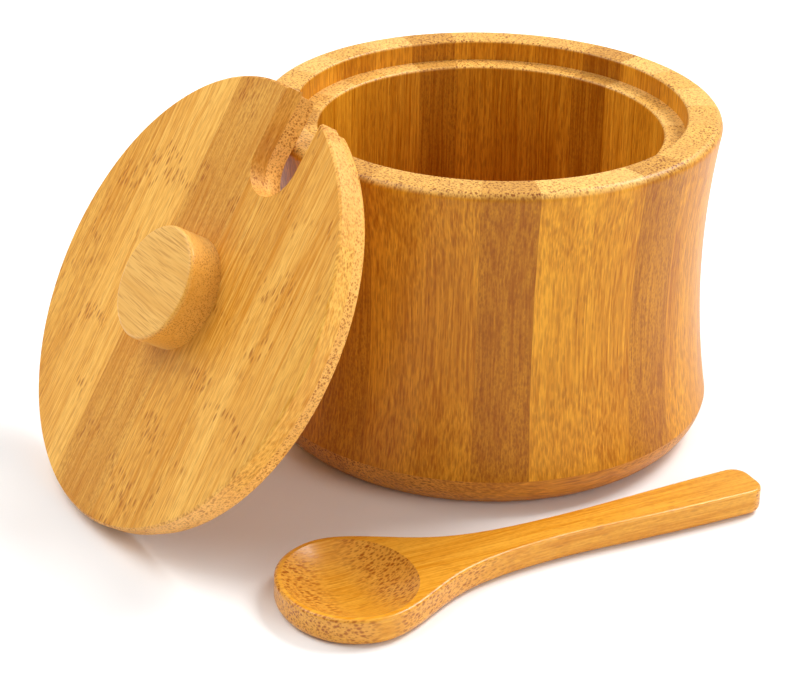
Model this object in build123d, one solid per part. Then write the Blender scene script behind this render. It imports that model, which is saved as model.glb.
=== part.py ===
from build123d import *
import math
import os

# A round jar of glued upright staves on a glued-up base, with its flat lid leaning
# against the rim and its spoon lying in front. The origin is the centre of the jar's
# underside, +Z is up and -Y is the front.

# Jar
jar_height = 84.2
foot_radius = 52.0
foot_bulge_radius = 56.6
foot_bulge_height = 4.0
base_thickness = 9.0
belly_radius = 58.6
waist_radius = 55.2
waist_height = 49.0
flare_radius = 58.2
rim_rounding = 2.2
bore_radius = 43.4
rebate_radius = 49.0
rebate_depth = 5.3
inner_edge_rounding = 0.8
stave_count = 26
first_joint_azimuth = -15.35
base_strip_width = 20.0
base_strip_offset = 10.0
base_grain_azimuth = 24.0

# Lid
lid_radius = 56.7
upper_ply_thickness = 4.7
lower_ply_thickness = 4.7
lower_ply_inset = 0.9
upper_edge_break = 0.5
lower_edge_rounding = 2.0
lid_strip_width = 21.5
lid_strip_offset = 5.0
cross_strip_offset = 0.0
lid_grain_slant = 4.0
slot_width = 18.7
slot_offset = 8.85
slot_end_distance = 31.6

# Knob and the dowel that holds it
knob_radius = 14.2
knob_height = 9.0
knob_rounding = 1.0
knob_offset = 1.5
dowel_radius = 4.0
dowel_depth_in_knob = 6.0
dowel_depth_in_lid = 7.0
dowel_clearance = 0.05

# Where the lid leans
lid_azimuth = 213.4
lid_elevation = 31.6
lid_shift = 2.8
resting_gap = 0.3

# Spoon
spoon_bowl_x = -27.9
spoon_bowl_y = -101.2
spoon_heading = 29.7
spoon_thickness = 7.0
bowl_half_length = 17.0
bowl_half_width = 18.9
neck_distance = 50.0
neck_half_width = 4.8
handle_half_width = 6.3
spoon_reach = 110.3
handle_end_rounding = 4.2
hollow_half_length = 15.5
hollow_half_width = 17.2
hollow_depth = 4.9
spoon_top_rounding = 0.8
spoon_under_rounding = 2.2

# Worked out from the sizes above
stave_angle = 360.0 / stave_count
rebate_height = jar_height - rebate_depth
lid_thickness = upper_ply_thickness + lower_ply_thickness
lower_ply_radius = lid_radius - lower_ply_inset


def jar_profile():
    """Half section of the whole turned jar, without its bore."""
    foot = Line((0, 0), (foot_radius, 0))
    under = ThreePointArc(
        (foot_radius, 0),
        (foot_bulge_radius, foot_bulge_height),
        (belly_radius, base_thickness),
    )
    side = ThreePointArc(
        (belly_radius, base_thickness),
        (waist_radius, waist_height),
        (flare_radius, jar_height),
    )
    top = Polyline((flare_radius, jar_height), (0, jar_height), (0, 0))
    face = make_face([foot, under, side, top])
    corner = face.vertices().sort_by_distance((flare_radius, jar_height, 0))[0]
    return fillet(corner, rim_rounding)


def wall_section():
    """Half section of the wall above the base, with its rebate."""
    bore_height = rebate_height - base_thickness
    bore = Pos(0, base_thickness) * Rectangle(
        bore_radius, bore_height, align=(Align.MIN, Align.MIN)
    )
    rebate = Pos(0, rebate_height) * Rectangle(
        rebate_radius, 2 * rebate_depth, align=(Align.MIN, Align.MIN)
    )
    base = Rectangle(2 * belly_radius, base_thickness, align=(Align.MIN, Align.MIN))
    section = jar_profile() - bore - rebate - base
    step = section.vertices().sort_by_distance((bore_radius, rebate_height, 0))[0]
    lip = section.vertices().sort_by_distance((rebate_radius, jar_height, 0))[0]
    return fillet([step, lip], inner_edge_rounding)


def make_staves():
    """The upright staves of the wall, numbered from the front towards the right."""
    stave = revolve(Plane.XZ * wall_section(), Axis.Z, stave_angle)
    staves = {}
    for number in range(stave_count):
        azimuth = first_joint_azimuth + number * stave_angle
        staves[f"wall_stave_{number + 1:02d}"] = Rot(0, 0, azimuth - 90) * stave
    return staves


def cut_into_strips(board, width, offset, reach, heading):
    """Cut a glued-up board along its grain into strips of one width."""
    first = math.floor((-reach - offset) / width)
    last = math.ceil((reach - offset) / width)
    strips = []
    for index in range(first, last):
        middle = offset + (index + 0.5) * width
        cutter = Rot(0, 0, heading) * Pos(middle, 0, 0) * Box(width, 4 * reach, 4 * reach)
        strip = board & cutter
        if strip.volume > 1.0:
            strips.append(strip)
    return strips


def make_base():
    """The base board under the wall, in strips across the front."""
    below = Rectangle(2 * belly_radius, base_thickness, align=(Align.MIN, Align.MIN))
    board = revolve(Plane.XZ * (jar_profile() & below), Axis.Z)
    strips = cut_into_strips(
        board, base_strip_width, base_strip_offset, belly_radius, base_grain_azimuth + 90
    )
    return {f"base_strip_{number + 1}": strip for number, strip in enumerate(strips)}


def slot_cutter():
    """The spoon's slot, open at the lid's edge, with a round end."""
    end_centre = slot_end_distance + slot_width / 2
    channel = Pos(slot_offset, end_centre, 0) * Box(
        slot_width, lid_radius, 4 * lid_thickness, align=(Align.CENTER, Align.MIN, Align.CENTER)
    )
    round_end = Pos(slot_offset, end_centre, 0) * Cylinder(slot_width / 2, 4 * lid_thickness)
    return channel + round_end


def finish_ply(ply):
    """Cut the slot and the dowel's hole into one ply of the lid, lying flat."""
    hole_depth = dowel_depth_in_lid
    hole = Pos(0, knob_offset, -hole_depth) * Cylinder(
        dowel_radius + dowel_clearance,
        2 * hole_depth,
        align=(Align.CENTER, Align.CENTER, Align.MIN),
    )
    return ply - slot_cutter() - hole


def make_lid_boards():
    """Both plies in strips: the upper along the slot, the lower across it."""
    downwards = (Align.CENTER, Align.CENTER, Align.MAX)
    upper = Cylinder(lid_radius, upper_ply_thickness, align=downwards)
    upper = finish_ply(chamfer(upper.edges().sort_by(Axis.Z)[-1], upper_edge_break))
    lower = Pos(0, 0, -upper_ply_thickness) * Cylinder(
        lower_ply_radius, lower_ply_thickness, align=downwards
    )
    lower = finish_ply(fillet(lower.edges().sort_by(Axis.Z)[0], lower_edge_rounding))
    pieces = {}
    along = cut_into_strips(upper, lid_strip_width, lid_strip_offset, lid_radius, lid_grain_slant)
    for number, strip in enumerate(along):
        pieces[f"lid_upper_strip_{number + 1}"] = strip
    across = cut_into_strips(
        lower, lid_strip_width, cross_strip_offset, lower_ply_radius, lid_grain_slant + 90
    )
    for number, strip in enumerate(across):
        pieces[f"lid_lower_strip_{number + 1}"] = strip
    return pieces


def make_knob():
    """The knob on the lid's upper face and the dowel through the joint."""
    knob = Pos(0, knob_offset, knob_height / 2) * Cylinder(knob_radius, knob_height)
    knob = fillet(knob.edges().sort_by(Axis.Z)[-1], knob_rounding)
    upwards = (Align.CENTER, Align.CENTER, Align.MIN)
    hole = Pos(0, knob_offset, 0) * Cylinder(
        dowel_radius + dowel_clearance, dowel_depth_in_knob, align=upwards
    )
    dowel = Pos(0, knob_offset, -dowel_depth_in_lid) * Cylinder(
        dowel_radius, dowel_depth_in_lid + dowel_depth_in_knob, align=upwards
    )
    return {"knob": knob - hole, "knob_dowel": dowel}


def lid_location():
    """Where the lid leans: its lower edge on the floor, its flat underside at the rim."""
    azimuth = math.radians(lid_azimuth)
    elevation = math.radians(lid_elevation)
    outward = Vector(math.cos(azimuth), math.sin(azimuth), 0)
    sideways = Vector(-math.sin(azimuth), math.cos(azimuth), 0)
    normal = outward * math.cos(elevation) + Vector(0, 0, math.sin(elevation))
    height = (
        (lid_thickness - lower_edge_rounding) * math.sin(elevation)
        + (lower_ply_radius - lower_edge_rounding) * math.cos(elevation)
        + lower_edge_rounding
    )
    rim_reach = (
        (flare_radius - rim_rounding) * math.cos(elevation)
        + (jar_height - rim_rounding) * math.sin(elevation)
        + rim_rounding
    )
    distance = (
        rim_reach + resting_gap + lid_thickness - height * math.sin(elevation)
    ) / math.cos(elevation)
    centre = outward * distance + sideways * lid_shift + Vector(0, 0, height)
    return Location(Plane(origin=centre, x_dir=sideways, z_dir=normal))


def spoon_outline():
    """The spoon seen from above, with its bowl at the origin and its handle along +X."""
    side = [
        (spoon_reach, handle_half_width),
        (neck_distance, neck_half_width),
        (0.5 * neck_distance, 1.8 * neck_half_width),
        (0.24 * neck_distance, 0.8 * bowl_half_width),
        (0, bowl_half_width),
        (-0.7 * bowl_half_length, 0.714 * bowl_half_width),
    ]
    tip = (-bowl_half_length, 0)
    other_side = [(x, -y) for x, y in reversed(side)]
    edge = Spline(*side, tip, *other_side, tangents=[(-1, 0), (1, 0)])
    end = Line(side[0], other_side[-1])
    outline = make_face([edge, end])
    corners = outline.vertices().sort_by(Axis.X)[-2:]
    return fillet(corners, handle_end_rounding)


def make_spoon():
    """The one-piece spoon, lying on the floor with its handle towards the right."""
    body = extrude(spoon_outline(), spoon_thickness)
    body = fillet(body.edges().group_by(Axis.Z)[-1], spoon_top_rounding)
    body = fillet(body.edges().group_by(Axis.Z)[0], spoon_under_rounding)
    mean_half = (hollow_half_length + hollow_half_width) / 2
    ball_radius = (mean_half**2 + hollow_depth**2) / (2 * hollow_depth)
    ball = scale(
        Sphere(ball_radius),
        by=(hollow_half_length / mean_half, hollow_half_width / mean_half, 1.0),
    )
    hollow = Pos(0, 0, spoon_thickness - hollow_depth + ball_radius) * ball
    return Pos(spoon_bowl_x, spoon_bowl_y, 0) * Rot(0, 0, spoon_heading) * (body - hollow)


def main():
    os.makedirs("parts", exist_ok=True)
    pieces = {}
    pieces.update(make_staves())
    pieces.update(make_base())
    leaning = lid_location()
    for name, piece in {**make_lid_boards(), **make_knob()}.items():
        pieces[name] = leaning * piece
    pieces["spoon"] = make_spoon()
    for name, piece in pieces.items():
        export_step(piece, f"parts/{name}.step")
    print(len(pieces), "pieces, lid centre", leaning.position)


main()
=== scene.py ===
"""A turned bamboo sugar jar with its notched lid leaning on the rim and its spoon in front."""

import logging
import math
from dataclasses import dataclass, field, replace
from enum import Enum
from typing import Union

import bpy
from mathutils import Matrix, Vector

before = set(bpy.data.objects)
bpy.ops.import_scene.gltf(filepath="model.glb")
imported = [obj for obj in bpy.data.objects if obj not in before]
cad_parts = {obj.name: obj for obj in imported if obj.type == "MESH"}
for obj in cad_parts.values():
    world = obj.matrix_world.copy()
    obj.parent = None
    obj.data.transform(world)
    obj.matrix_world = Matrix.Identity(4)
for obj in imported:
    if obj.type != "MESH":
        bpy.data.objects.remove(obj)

log = logging.getLogger("sugar_jar")

MILLIMETRE = 0.001

# A Mix node has sockets for each kind of data, so those for colours go by their number.
MIX_AMOUNT = 0
MIX_FIRST = 6
MIX_SECOND = 7
MIX_RESULT = 2

Triple = tuple[float, float, float]
Socket = bpy.types.NodeSocket
Input = Union[float, Triple, Socket]


def linear(value: int) -> float:
    """Undo the sRGB curve of one channel, which starts with a short straight line.

    Args:
        value: the channel as a screen shows it, from 0 to 255.

    Returns:
        Its linear share, from 0 to 1.
    """
    part = value / 255
    if part <= 0.04045:
        return part / 12.92
    return ((part + 0.055) / 1.055) ** 2.4


def shade(red: int, green: int, blue: int) -> Triple:
    """The colour that Blender's sockets take, from 0 to 255 values as a screen shows them."""
    return linear(red), linear(green), linear(blue)


def turned(degrees: float, axis: str) -> Matrix:
    """A turn about one axis."""
    return Matrix.Rotation(math.radians(degrees), 4, axis)


class Board(Enum):
    """How the strips of a glued-up piece lie."""

    ROUND = "staves round an upright axis"
    FLAT = "parallel strips side by side"
    SINGLE = "one piece of bamboo"


class Tone(Enum):
    """A strip's tone: factors on its colours, on the strength of its marks and on their length."""

    DARK = ((0.85, 0.81, 0.74), 1.5, 0.4)
    MID = ((1.0, 1.0, 1.0), 1.0, 1.0)
    # A paler strip tone that differs at random, with its blue lifted further as painted sheen of
    # light glancing off the lacquer.
    PALE = ((1.07, 1.10, 1.25), 0.8, 1.2)

    def lift(self, colour: Triple, depth: float) -> Triple:
        """Bring a colour to this tone.

        Args:
            colour: the colour in the middle tone.
            depth: how far the board's tones lie apart, 1 as they stand here.

        Returns:
            The colour in this tone.
        """
        factors = (factor ** depth for factor in self.value[0])
        return tuple(min(1.0, factor * part) for factor, part in zip(factors, colour))

    @property
    def fleck(self) -> float:
        """A factor on the strength of the fibre marks."""
        return self.value[1]

    @property
    def stretch(self) -> float:
        """A factor on the length of the fibre marks."""
        return self.value[2]


class Nodes:
    """Short ways to add and join shader nodes in one tree."""

    def __init__(self, tree: bpy.types.NodeTree) -> None:
        """Keep the tree that the nodes go into."""
        self.tree = tree

    def add(self, kind: str, **settings: object) -> bpy.types.Node:
        """Add a node and set its properties.

        Args:
            kind: the node's type name without its prefix.
            settings: properties of the node.

        Returns:
            The new node.
        """
        node = self.tree.nodes.new("ShaderNode" + kind)
        for name, value in settings.items():
            setattr(node, name, value)
        return node

    def put(self, value: Input, socket: Socket) -> None:
        """Set a socket to a plain value, or link it to another socket.

        Args:
            value: the number, vector or colour, or the socket that gives it.
            socket: the socket that takes it.
        """
        if isinstance(value, Socket):
            self.tree.links.new(value, socket)
        elif socket.type == "RGBA":
            socket.default_value = (*value, 1.0)
        else:
            socket.default_value = value

    def maths(self, operation: str, *values: Input, clamp: bool = False) -> Socket:
        """Add a Math node.

        Args:
            operation: what it does.
            values: its inputs in their order.
            clamp: whether the result is kept from 0 to 1.

        Returns:
            The result.
        """
        node = self.add("Math", operation=operation, use_clamp=clamp)
        for socket, value in zip(node.inputs, values):
            self.put(value, socket)
        return node.outputs[0]

    def vector(self, operation: str, *values: Input) -> Socket:
        """Add a Vector Math node.

        Args:
            operation: what it does.
            values: its inputs in their order.

        Returns:
            The result, a number for a dot product and otherwise a vector.
        """
        node = self.add("VectorMath", operation=operation)
        for socket, value in zip(node.inputs, values):
            self.put(value, socket)
        return node.outputs["Value" if operation == "DOT_PRODUCT" else "Vector"]

    def fade(self, value: Input, low: float, high: float) -> Socket:
        """Turn a value into 0 at one limit and 1 at another, smoothly.

        Args:
            value: the value.
            low: the limit that gives 0.
            high: the limit that gives 1.

        Returns:
            The result, from 0 to 1.
        """
        node = self.add("MapRange", interpolation_type="SMOOTHSTEP")
        for socket, item in zip(node.inputs, (value, low, high, 0.0, 1.0)):
            self.put(item, socket)
        return node.outputs[0]

    def blend(self, amount: Input, first: Input, second: Input) -> Socket:
        """Mix two colours.

        Args:
            amount: the second colour's share.
            first: the first colour.
            second: the second colour.

        Returns:
            The mixed colour.
        """
        node = self.add("Mix", data_type="RGBA", blend_type="MIX")
        self.put(amount, node.inputs[MIX_AMOUNT])
        self.put(first, node.inputs[MIX_FIRST])
        self.put(second, node.inputs[MIX_SECOND])
        return node.outputs[MIX_RESULT]


def new_group(name: str, inputs: dict[str, str], outputs: dict[str, str]) -> bpy.types.NodeTree:
    """Make an empty shader node group with named sockets.

    Args:
        name: the group's name.
        inputs: socket names with their types.
        outputs: socket names with their types.

    Returns:
        The group, with its input and output nodes in place.
    """
    group = bpy.data.node_groups.new(name, "ShaderNodeTree")
    for direction, sockets in (("INPUT", inputs), ("OUTPUT", outputs)):
        for socket, kind in sockets.items():
            group.interface.new_socket(socket, in_out=direction, socket_type="NodeSocket" + kind)
    group.nodes.new("NodeGroupInput").name = "in"
    group.nodes.new("NodeGroupOutput").name = "out"
    return group


@dataclass(frozen=True)
class Cells:
    """A noise with long cells along Z. Their width and length are in millimetres."""

    width: float
    length: float
    detail: float

    def read(self, make: Nodes, place: Socket) -> bpy.types.Node:
        """Read the noise at a place.

        Args:
            make: the nodes of the tree.
            place: the place in millimetres.

        Returns:
            The texture's node, with a value first and a colour second.
        """
        share = (1 / self.width, 1 / self.width, 1 / self.length)
        node = make.add("TexNoise")
        make.put(make.vector("MULTIPLY", place, share), node.inputs["Vector"])
        make.put(1.0, node.inputs["Scale"])
        make.put(self.detail, node.inputs["Detail"])
        return node


@dataclass(frozen=True)
class FibrePattern:
    """Fibre bundles along Z, dots on a cut end and dashes along it. Sizes are in millimetres.

    A mark fades from core to edge, which are shares of the marks' spacing. Bundles crowd where
    the drift goes from sparse to crowded, and knots show where the patch goes from its start to
    its full value.
    """

    wander: Cells = Cells(14.0, 40.0, 2.0)
    sway: float = 2.2
    drift: Cells = Cells(9.0, 60.0, 3.0)
    core: float = 0.18
    edge: float = 0.5
    fine_share: float = 0.55
    fine_strength: float = 0.75
    sparse: float = 0.34
    crowded: float = 0.62
    knot_spacing: float = 0.95
    knot_reach: float = 3.6
    patch: Cells = Cells(15.0, 11.0, 1.0)
    patch_start: float = 0.52
    patch_full: float = 0.63
    thread: Cells = Cells(0.42, 25.0, 4.0)
    band: Cells = Cells(1.5, 80.0, 2.0)
    thread_share: float = 0.72

    def build(self) -> bpy.types.NodeTree:
        """Make the group.

        Returns:
            A group that takes a place in millimetres and gives masks.
        """
        group = new_group(
            "bamboo_fibres",
            {"Place": "Vector", "Spacing": "Float", "Reach": "Float", "Patchiness": "Float"},
            {"Bundles": "Float", "Knots": "Float", "Streaks": "Float", "Drift": "Float"},
        )
        make = Nodes(group)
        given, out = group.nodes["in"].outputs, group.nodes["out"].inputs
        place = self.swerve(make, given["Place"])
        drift = self.drift.read(make, place).outputs[0]
        make.put(drift, out["Drift"])
        make.put(self.bundles(make, given, place, drift), out["Bundles"])
        make.put(self.knots(make, place), out["Knots"])
        make.put(self.streaks(make, place), out["Streaks"])
        return group

    def swerve(self, make: Nodes, place: Socket) -> Socket:
        """Let the fibres wander sideways.

        Args:
            make: the group's nodes.
            place: the place in millimetres.

        Returns:
            The place after the fibres' wandering.
        """
        bend = self.wander.read(make, place).outputs["Color"]
        bend = make.vector("SUBTRACT", bend, (0.5, 0.5, 0.5))
        bend = make.vector("MULTIPLY", bend, (self.sway, self.sway, 0.0))
        return make.vector("ADD", place, bend)

    def marks(self, make: Nodes, place: Socket, spacing: Input, reach: Input) -> Socket:
        """Scatter long thin marks along Z.

        Args:
            make: the group's nodes.
            place: the place in millimetres.
            spacing: the distance between marks.
            reach: how many times longer than wide a mark is.

        Returns:
            A mask, 1 inside the marks.
        """
        across = make.maths("DIVIDE", 1.0, spacing)
        scale = make.add("CombineXYZ")
        make.put(across, scale.inputs["X"])
        make.put(across, scale.inputs["Y"])
        make.put(make.maths("DIVIDE", across, reach), scale.inputs["Z"])
        cells = make.add("TexVoronoi", feature="F1")
        make.put(make.vector("MULTIPLY", place, scale.outputs[0]), cells.inputs["Vector"])
        make.put(1.0, cells.inputs["Scale"])
        faded = make.fade(cells.outputs["Distance"], self.core, self.edge)
        return make.maths("SUBTRACT", 1.0, faded)

    def bundles(self, make: Nodes, given: bpy.types.bpy_prop_collection, place: Socket,
                drift: Socket) -> Socket:
        """Coarse and fine bundles, crowded in patches.

        Args:
            make: the group's nodes.
            given: the group's inputs.
            place: the place after the fibres' wandering.
            drift: the slow change along the board.

        Returns:
            The bundles' mask.
        """
        coarse = self.marks(make, place, given["Spacing"], given["Reach"])
        spacing = make.maths("MULTIPLY", given["Spacing"], self.fine_share)
        fine = self.marks(make, place, spacing, given["Reach"])
        both = make.maths("MAXIMUM", coarse, make.maths("MULTIPLY", fine, self.fine_strength))
        crowd = make.maths("MULTIPLY_ADD", make.fade(drift, self.sparse, self.crowded),
                           given["Patchiness"],
                           make.maths("SUBTRACT", 1.0, given["Patchiness"]))
        return make.maths("MULTIPLY", both, crowd)

    def knots(self, make: Nodes, place: Socket) -> Socket:
        """Short dashes that stand together in patches.

        Args:
            make: the group's nodes.
            place: the place after the fibres' wandering.

        Returns:
            The dashes' mask.
        """
        dashes = self.marks(make, place, self.knot_spacing, self.knot_reach)
        patch = self.patch.read(make, place).outputs[0]
        return make.maths("MULTIPLY", dashes, make.fade(patch, self.patch_start, self.patch_full))

    def streaks(self, make: Nodes, place: Socket) -> Socket:
        """Fine threads over broader bands.

        Args:
            make: the group's nodes.
            place: the place after the fibres' wandering.

        Returns:
            The streaks, from 0 to 1.
        """
        thread = self.thread.read(make, place).outputs[0]
        thread = make.maths("MULTIPLY", thread, self.thread_share)
        band = self.band.read(make, place).outputs[0]
        band = make.maths("MULTIPLY", band, 1 - self.thread_share)
        return make.maths("ADD", thread, band)


@dataclass(frozen=True)
class StripPattern:
    """Numbers the strips of a glued-up board and marks the glue lines between them.

    The shift moves each strip's fibres by up to so many millimetres. The seed picks the strips'
    chances, and a glue line is full up to its core, a share of its half width.
    """

    shift: Triple = (61.0, 47.0, 83.0)
    seed: float = 7.31
    core: float = 0.3

    def build(self) -> bpy.types.NodeTree:
        """Make the group.

        Returns:
            A group that takes the distance across the strips.
        """
        group = new_group(
            "glued_strips",
            {"Across": "Float", "Width": "Float", "Offset": "Float", "Line": "Float"},
            {"Shift": "Vector", "Chance": "Float", "Joint": "Float"},
        )
        make = Nodes(group)
        given, out = group.nodes["in"].outputs, group.nodes["out"].inputs
        turns = make.maths("SUBTRACT", given["Across"], given["Offset"])
        turns = make.maths("DIVIDE", turns, given["Width"])
        number = make.maths("FLOOR", turns)
        chance = make.add("TexWhiteNoise", noise_dimensions="1D")
        make.put(make.maths("ADD", number, self.seed), chance.inputs["W"])
        make.put(make.vector("MULTIPLY", chance.outputs["Color"], self.shift), out["Shift"])
        make.put(chance.outputs["Value"], out["Chance"])
        part = make.maths("FRACT", turns)
        near = make.maths("MINIMUM", part, make.maths("SUBTRACT", 1.0, part))
        near = make.maths("MULTIPLY", near, given["Width"])
        near = make.maths("DIVIDE", near, given["Line"])
        make.put(make.maths("SUBTRACT", 1.0, make.fade(near, self.core, 1.0)), out["Joint"])
        return group


@dataclass(frozen=True)
class Bamboo:
    """One finish of lacquered bamboo, with its grain along Z of its own frame.

    Distances along the surface are in millimetres, and the width and offset of round strips are
    in degrees. The end grain limits are how far a face looks along the grain.
    """

    name: str
    light: Triple
    dark: Triple
    fibre: Triple
    # Colour of cut end grain: on the staves it is also paler as painted light and sheen on the rim
    # top, and on the knob darker as painted shade on its sides.
    cut: Triple
    grain: Matrix = field(default_factory=lambda: Matrix.Identity(4))
    board: Board = Board.SINGLE
    strip_width: float = 20.0
    strip_offset: float = 0.0
    strip_contrast: float = 0.25
    glue_line: float = 0.16
    joint_strength: float = 0.25
    spacing: float = 0.8
    reach: float = 6.0
    patchiness: float = 0.3
    bundle_strength: float = 0.9
    long_grain_share: float = 0.42
    end_grain_low: float = 0.2
    end_grain_high: float = 0.75
    cut_share: float = 0.5
    tone_depth: float = 1.0
    knot_strength: float = 0.35
    streak_contrast: float = 3.0
    roughness: float = 0.42
    roughness_spread: float = 0.2
    specular: float = 0.22
    coat: float = 0.08
    coat_roughness: float = 0.22
    mark_depth: float = 0.6
    bump_strength: float = 0.6
    bump_height: float = 0.08

    def toned(self, tone: Tone) -> "Bamboo":
        """The same finish at another tone.

        Args:
            tone: the tone.

        Returns:
            The finish, with the tone in its name.
        """
        return replace(
            self,
            name=f"{self.name}_{tone.name.lower()}",
            light=tone.lift(self.light, self.tone_depth),
            dark=tone.lift(self.dark, self.tone_depth),
            cut=tone.lift(self.cut, self.tone_depth),
            reach=tone.stretch * self.reach,
            bundle_strength=min(1.0, tone.fleck * self.bundle_strength),
        )

    def build(self) -> bpy.types.Material:
        """Make the material.

        Returns:
            The new material.
        """
        material = bpy.data.materials.new(self.name)
        material.use_nodes = True
        material.node_tree.nodes.clear()
        make = Nodes(material.node_tree)
        coordinates = make.add("TexCoord")
        place = self.lay_grain(make, coordinates.outputs["Object"])
        chance: Input = 0.5
        joint: Input = 0.0
        if self.board is not Board.SINGLE:
            strips = self.number_strips(make, place)
            place = make.vector("ADD", place, strips.outputs["Shift"])
            chance, joint = strips.outputs["Chance"], strips.outputs["Joint"]
        fibres = self.place_fibres(make, place)
        end = self.end_grain(make, coordinates.outputs["Normal"])
        marks = self.marks(make, fibres, end, joint)
        colour = make.blend(self.tone(make, fibres, chance), self.dark, self.light)
        # End grain takes the cut colour, which holds painted light on the staves' rim top and
        # painted shade on the knob's sides.
        colour = make.blend(make.maths("MULTIPLY", end, self.cut_share), colour, self.cut)
        colour = make.blend(marks, colour, self.fibre)
        self.lacquer(make, colour, fibres.outputs["Streaks"], marks)
        return material

    def lay_grain(self, make: Nodes, point: Socket) -> Socket:
        """Turn a point of the object into a place in the grain's own frame.

        Args:
            make: the material's nodes.
            point: the point in metres.

        Returns:
            The place in millimetres.
        """
        mapping = make.add("Mapping", vector_type="TEXTURE")
        make.put(point, mapping.inputs["Vector"])
        make.put(self.grain.translation, mapping.inputs["Location"])
        make.put(self.grain.to_euler(), mapping.inputs["Rotation"])
        make.put((MILLIMETRE,) * 3, mapping.inputs["Scale"])
        return mapping.outputs[0]

    def number_strips(self, make: Nodes, place: Socket) -> bpy.types.Node:
        """Place the group that numbers the strips.

        Args:
            make: the material's nodes.
            place: the place in the grain's frame.

        Returns:
            The group's node.
        """
        parts = make.add("SeparateXYZ")
        make.put(place, parts.inputs[0])
        across = parts.outputs["X"]
        if self.board is Board.ROUND:
            backwards = make.maths("MULTIPLY", parts.outputs["Y"], -1.0)
            across = make.maths("DEGREES", make.maths("ARCTAN2", across, backwards))
        strips = make.add("Group")
        strips.node_tree = bpy.data.node_groups["glued_strips"]
        make.put(across, strips.inputs["Across"])
        make.put(self.strip_width, strips.inputs["Width"])
        make.put(self.strip_offset, strips.inputs["Offset"])
        make.put(self.glue_line, strips.inputs["Line"])
        return strips

    def place_fibres(self, make: Nodes, place: Socket) -> bpy.types.Node:
        """Place the group that draws the fibres.

        Args:
            make: the material's nodes.
            place: the place in the strip.

        Returns:
            The group's node.
        """
        fibres = make.add("Group")
        fibres.node_tree = bpy.data.node_groups["bamboo_fibres"]
        make.put(place, fibres.inputs["Place"])
        make.put(self.spacing, fibres.inputs["Spacing"])
        make.put(self.reach, fibres.inputs["Reach"])
        make.put(self.patchiness, fibres.inputs["Patchiness"])
        return fibres

    def end_grain(self, make: Nodes, normal: Socket) -> Socket:
        """Tell cut ends, 1, from faces along the grain, 0.

        Args:
            make: the material's nodes.
            normal: the surface's normal.

        Returns:
            The share of end grain.
        """
        axis = tuple(self.grain.col[2].xyz)
        facing = make.maths("ABSOLUTE", make.vector("DOT_PRODUCT", normal, axis))
        return make.fade(facing, self.end_grain_low, self.end_grain_high)

    def marks(self, make: Nodes, fibres: bpy.types.Node, end: Socket, joint: Input) -> Socket:
        """Lay bundles, knots and glue lines over each other.

        Args:
            make: the material's nodes.
            fibres: the fibre group's node.
            end: the share of end grain.
            joint: the glue lines' mask.

        Returns:
            How much of the fibres' own colour shows.
        """
        strength = make.maths("MULTIPLY_ADD", end, 1 - self.long_grain_share,
                              self.long_grain_share)
        strength = make.maths("MULTIPLY", strength, self.bundle_strength)
        bundles = make.maths("MULTIPLY", fibres.outputs["Bundles"], strength)
        knots = make.maths("MULTIPLY", fibres.outputs["Knots"], self.knot_strength)
        glue = make.maths("MULTIPLY", joint, self.joint_strength)
        return make.maths("MAXIMUM", make.maths("MAXIMUM", bundles, knots), glue)

    def tone(self, make: Nodes, fibres: bpy.types.Node, chance: Input) -> Socket:
        """Work out how light the bamboo is, from 0 to 1.

        Args:
            make: the material's nodes.
            fibres: the fibre group's node.
            chance: the strip's own share, from 0 to 1.

        Returns:
            The lightness.
        """
        streaks = make.maths("MULTIPLY_ADD", fibres.outputs["Streaks"], self.streak_contrast,
                             -self.streak_contrast / 2)
        drift = make.maths("SUBTRACT", fibres.outputs["Drift"], 0.5)
        strip = make.maths("MULTIPLY_ADD", chance, self.strip_contrast,
                           0.5 - self.strip_contrast / 2)
        return make.maths("ADD", make.maths("ADD", streaks, drift), strip, clamp=True)

    def lacquer(self, make: Nodes, colour: Socket, streaks: Socket, marks: Socket) -> None:
        """Finish the surface with a thin clear coat.

        Args:
            make: the material's nodes.
            colour: the bamboo's colour.
            streaks: the streaks, which stand up and are rougher.
            marks: the marks, which lie lower.
        """
        surface = make.add("BsdfPrincipled")
        make.put(colour, surface.inputs["Base Color"])
        rough = make.maths("MULTIPLY_ADD", streaks, self.roughness_spread,
                           self.roughness - self.roughness_spread / 2)
        make.put(rough, surface.inputs["Roughness"])
        make.put(self.specular, surface.inputs["Specular IOR Level"])
        make.put(self.coat, surface.inputs["Coat Weight"])
        make.put(self.coat_roughness, surface.inputs["Coat Roughness"])
        bump = make.add("Bump")
        depth = make.maths("MULTIPLY", marks, self.mark_depth)
        make.put(make.maths("SUBTRACT", streaks, depth), bump.inputs["Height"])
        make.put(self.bump_strength, bump.inputs["Strength"])
        make.put(self.bump_height * MILLIMETRE, bump.inputs["Distance"])
        make.put(bump.outputs[0], surface.inputs["Normal"])
        make.put(surface.outputs[0], make.add("OutputMaterial").inputs["Surface"])


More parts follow.
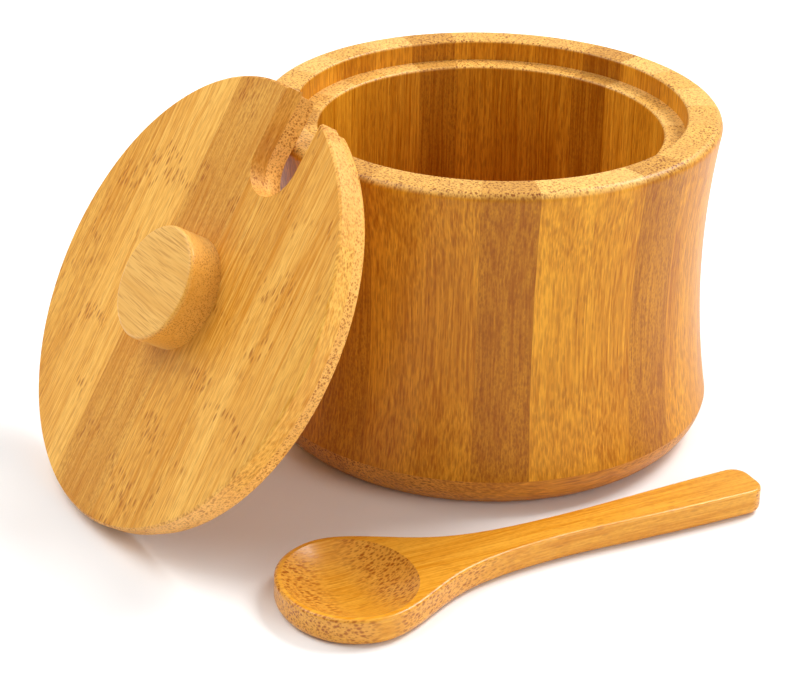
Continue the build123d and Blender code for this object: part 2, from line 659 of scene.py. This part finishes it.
@dataclass
class StudioCamera:
    """The camera, aimed as the photograph was taken.

    The focal length and the frame are in pixels, the sensor in millimetres, the distance in
    metres and the angles in degrees.
    """

    focal_pixels: float = 2427.0
    frame_width: float = 800.0
    sensor_width: float = 36.0
    distance: float = 0.6451
    elevation: float = 27.55
    pitch: float = 26.25
    yaw: float = -2.16
    roll: float = 1.26

    def build(self) -> None:
        """Add the camera and make it the scene's own."""
        data = bpy.data.cameras.new("studio_camera")
        data.sensor_width = self.sensor_width
        data.lens = self.focal_pixels * self.sensor_width / self.frame_width
        camera = bpy.data.objects.new("studio_camera", data)
        bpy.context.scene.collection.objects.link(camera)
        rise = math.radians(self.elevation)
        camera.location = (0, -self.distance * math.cos(rise), self.distance * math.sin(rise))
        down, yaw = math.radians(self.pitch), math.radians(self.yaw)
        forward = Vector((math.sin(yaw) * math.cos(down), math.cos(yaw) * math.cos(down),
                          -math.sin(down)))
        right = Vector((math.cos(yaw), -math.sin(yaw), 0))
        basis = Matrix((right, right.cross(forward), -forward)).transposed()
        rolled = basis @ Matrix.Rotation(math.radians(self.roll), 3, "Z")
        camera.rotation_euler = rolled.to_euler()
        bpy.context.scene.camera = camera


@dataclass(frozen=True)
class Lamp:
    """A soft square lamp. Its place and side are in metres, its power in watts."""

    name: str
    place: Triple
    side: float
    power: float

    def build(self, target: Triple) -> None:
        """Hang the lamp.

        Args:
            target: the point that it looks at.
        """
        data = bpy.data.lights.new(self.name, "AREA")
        data.size = self.side
        data.energy = self.power
        lamp = bpy.data.objects.new(self.name, data)
        bpy.context.scene.collection.objects.link(lamp)
        lamp.location = self.place
        aim = Vector(target) - Vector(self.place)
        lamp.rotation_euler = aim.to_track_quat("-Z", "Y").to_euler()


@dataclass
class Studio:
    """A white floor, soft lamps and a surround that only the camera sees quite white."""

    floor_side: float = 6.0
    floor_colour: Triple = (0.93, 0.925, 0.92)
    surround_colour: Triple = (1.0, 1.0, 1.0)
    surround_seen: float = 1.0
    surround_light: float = 0.4
    target: Triple = (0.0, -0.02, 0.04)
    lamps: tuple[Lamp, ...] = (
        Lamp("key_lamp", (-0.55, 0.05, 0.75), 0.8, 6.2),
        Lamp("side_lamp", (0.5, 0.3, 0.75), 0.4, 8.2),
        Lamp("front_lamp", (0.8, -0.6, 0.4), 0.6, 3.5),
    )

    def build(self) -> None:
        """Add all of the studio."""
        self.build_floor()
        self.build_surround()
        for lamp in self.lamps:
            lamp.build(self.target)

    def build_floor(self) -> None:
        """Lay the floor."""
        bpy.ops.mesh.primitive_plane_add(size=self.floor_side, location=(0, 0, 0))
        floor = bpy.context.object
        floor.name = "floor"
        material = bpy.data.materials.new("floor")
        material.use_nodes = True
        material.node_tree.nodes.clear()
        make = Nodes(material.node_tree)
        matt = make.add("BsdfDiffuse")
        make.put(self.floor_colour, matt.inputs["Color"])
        make.put(matt.outputs[0], make.add("OutputMaterial").inputs["Surface"])
        floor.data.materials.append(material)

    def build_surround(self) -> None:
        """Light the world evenly and let the camera see it white."""
        world = bpy.data.worlds.new("surround")
        bpy.context.scene.world = world
        world.use_nodes = True
        world.node_tree.nodes.clear()
        make = Nodes(world.node_tree)
        seen = make.add("LightPath").outputs["Is Camera Ray"]
        strength = make.maths("MULTIPLY_ADD", seen, self.surround_seen - self.surround_light,
                              self.surround_light)
        light = make.add("Background")
        make.put(self.surround_colour, light.inputs["Color"])
        make.put(strength, light.inputs["Strength"])
        make.put(light.outputs[0], make.add("OutputWorld").inputs["Surface"])


def dress(name: str, material: bpy.types.Material) -> None:
    """Give a node of the frame one material.

    Args:
        name: the node.
        material: its finish.
    """
    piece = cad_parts[name]
    piece.data.materials.clear()
    piece.data.materials.append(material)
    log.info("%s dressed in %s", name, material.name)


def dress_by_tone(finish: Bamboo, prefix: str, count: int, dark: tuple[int, ...],
                  pale: tuple[int, ...]) -> None:
    """Dress nodes numbered from 1 in three tones of one finish.

    Args:
        finish: the finish in its middle tone.
        prefix: the nodes' name without the number.
        count: how many nodes there are.
        dark: the numbers of the dark ones.
        pale: the numbers of the pale ones.
    """
    made = {tone: finish.toned(tone).build() for tone in Tone}
    digits = len(str(count))
    for number in range(1, count + 1):
        tone = Tone.DARK if number in dark else Tone.PALE if number in pale else Tone.MID
        dress(f"{prefix}_{number:0{digits}d}", made[tone])


@dataclass
class Jar:
    """The turned jar: its ring of staves and the board under them. Angles are in degrees."""

    stave_count: int = 26
    first_joint: float = -15.35
    dark_staves: tuple[int, ...] = (2, 5, 12, 16, 21, 25)
    pale_staves: tuple[int, ...] = (3, 4, 9, 11, 17, 19, 23)
    base_strip_count: int = 7
    base_grain_azimuth: float = 24.0
    dark_base_strips: tuple[int, ...] = (3,)
    pale_base_strips: tuple[int, ...] = (5,)

    def build(self) -> None:
        """Dress the staves and the base."""
        self.dress_wall()
        self.dress_base()

    def dress_wall(self) -> None:
        """Dress the staves, whose grain stands upright."""
        finish = Bamboo(
            "bamboo_stave",
            light=shade(226, 156, 36),
            dark=shade(176, 102, 0),
            fibre=shade(118, 52, 0),
            # Paler than the staves' own end grain: painted light and sheen on the upward-facing
            # rim top, partly the end grain's own colour.
            cut=shade(248, 202, 116),
            board=Board.ROUND,
            strip_width=360 / self.stave_count,
            strip_offset=self.first_joint,
            tone_depth=1.5,
        )
        dress_by_tone(finish, "wall_stave", self.stave_count, self.dark_staves, self.pale_staves)

    def dress_base(self) -> None:
        """Dress the base, whose grain lies flat."""
        finish = Bamboo(
            "bamboo_base",
            light=shade(222, 150, 44),
            dark=shade(176, 102, 8),
            fibre=shade(120, 56, 0),
            cut=shade(226, 160, 70),
            grain=turned(self.base_grain_azimuth, "Z") @ turned(90, "Y"),
            reach=9.0,
        )
        dress_by_tone(finish, "base_strip", self.base_strip_count, self.dark_base_strips,
                      self.pale_base_strips)


@dataclass
class Lid:
    """The leaning lid: two crossed plies and the knob.

    Its centre is in metres, its strips' width and offset in millimetres and its angles in
    degrees.
    """

    centre: Triple = (-0.0724362, -0.0511168, 0.0517004)
    azimuth: float = 213.4
    elevation: float = 31.6
    slant: float = 4.0
    strip_count: int = 6
    strip_width: float = 21.5
    strip_offset: float = 5.0
    dark_strips: tuple[int, ...] = (3,)
    pale_strips: tuple[int, ...] = (2, 5)

    def lean(self) -> Matrix:
        """Work out how the lid leans.

        Returns:
            The lid's own frame: X across the slot, Y along it, Z out of its face.
        """
        turn, rise = math.radians(self.azimuth), math.radians(self.elevation)
        side = Vector((-math.sin(turn), math.cos(turn), 0))
        face = Vector((math.cos(turn) * math.cos(rise), math.sin(turn) * math.cos(rise),
                       math.sin(rise)))
        basis = Matrix((side, face.cross(side), face)).transposed().to_4x4()
        return Matrix.Translation(self.centre) @ basis

    def along(self, degrees: float) -> Matrix:
        """The frame of a grain that lies in the lid's face, turned from the slot."""
        return self.lean() @ turned(degrees, "Z") @ turned(-90, "X")

    def build(self) -> None:
        """Dress the plies, the knob and the dowel."""
        self.dress_plies()
        self.dress_knob()

    def dress_plies(self) -> None:
        """Dress the upper ply along the slot and the lower one across it."""
        upper = Bamboo(
            "bamboo_lid_upper",
            light=shade(242, 186, 86),
            dark=shade(206, 132, 28),
            fibre=shade(158, 84, 4),
            cut=shade(240, 184, 100),
            grain=self.along(self.slant),
            board=Board.FLAT,
            strip_width=self.strip_width,
            strip_offset=self.strip_offset,
            knot_strength=0.75,
            tone_depth=0.8,
        )
        lower = replace(
            upper,
            name="bamboo_lid_lower",
            grain=self.along(self.slant + 90),
            board=Board.SINGLE,
            knot_strength=Bamboo.knot_strength,
        )
        dress_by_tone(upper, "lid_upper_strip", self.strip_count, self.dark_strips,
                      self.pale_strips)
        dress_by_tone(lower, "lid_lower_strip", self.strip_count, (), self.pale_strips)

    def dress_knob(self) -> None:
        """Dress the knob and its dowel with their grain across the slot."""
        finish = Bamboo(
            "bamboo_knob",
            light=shade(246, 198, 112),
            dark=shade(214, 150, 60),
            fibre=shade(160, 88, 8),
            # Darker than the knob's top: partly the end grain's own colour, partly painted shade
            # on the knob's sides.
            cut=shade(228, 156, 36),
            grain=self.along(90),
            spacing=0.5,
            reach=26.0,
            patchiness=0.6,
            bundle_strength=0.6,
            long_grain_share=0.8,
            knot_strength=0.0,
            streak_contrast=1.1,
        ).build()
        dress("knob", finish)
        dress("knob_dowel", finish)


@dataclass
class Spoon:
    """The spoon in front of the jar. Its place is in metres and its heading in degrees."""

    place: Triple = (-0.0279, -0.1012, 0.0)
    heading: float = 29.7

    def build(self) -> None:
        """Dress the spoon with its grain along the handle."""
        finish = Bamboo(
            "bamboo_spoon",
            light=shade(238, 174, 60),
            dark=shade(210, 134, 22),
            fibre=shade(158, 78, 2),
            cut=shade(226, 162, 70),
            grain=Matrix.Translation(self.place) @ turned(self.heading, "Z") @ turned(90, "Y"),
            spacing=0.9,
            reach=2.6,
            patchiness=0.12,
            bundle_strength=0.95,
            long_grain_share=0.2,
            end_grain_low=0.03,
            end_grain_high=0.34,
            roughness=0.32,
            coat=0.35,
        )
        dress("spoon", finish.build())


def main() -> None:
    """Build the scene in order."""
    logging.basicConfig(level=logging.INFO)
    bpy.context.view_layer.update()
    bpy.ops.object.select_all(action="DESELECT")
    bpy.context.scene.view_settings.view_transform = "Standard"
    FibrePattern().build()
    StripPattern().build()
    for part in (Jar(), Lid(), Spoon(), Studio(), StudioCamera()):
        part.build()
        log.info("%s built", type(part).__name__)


if __name__ == "__main__":
    main()
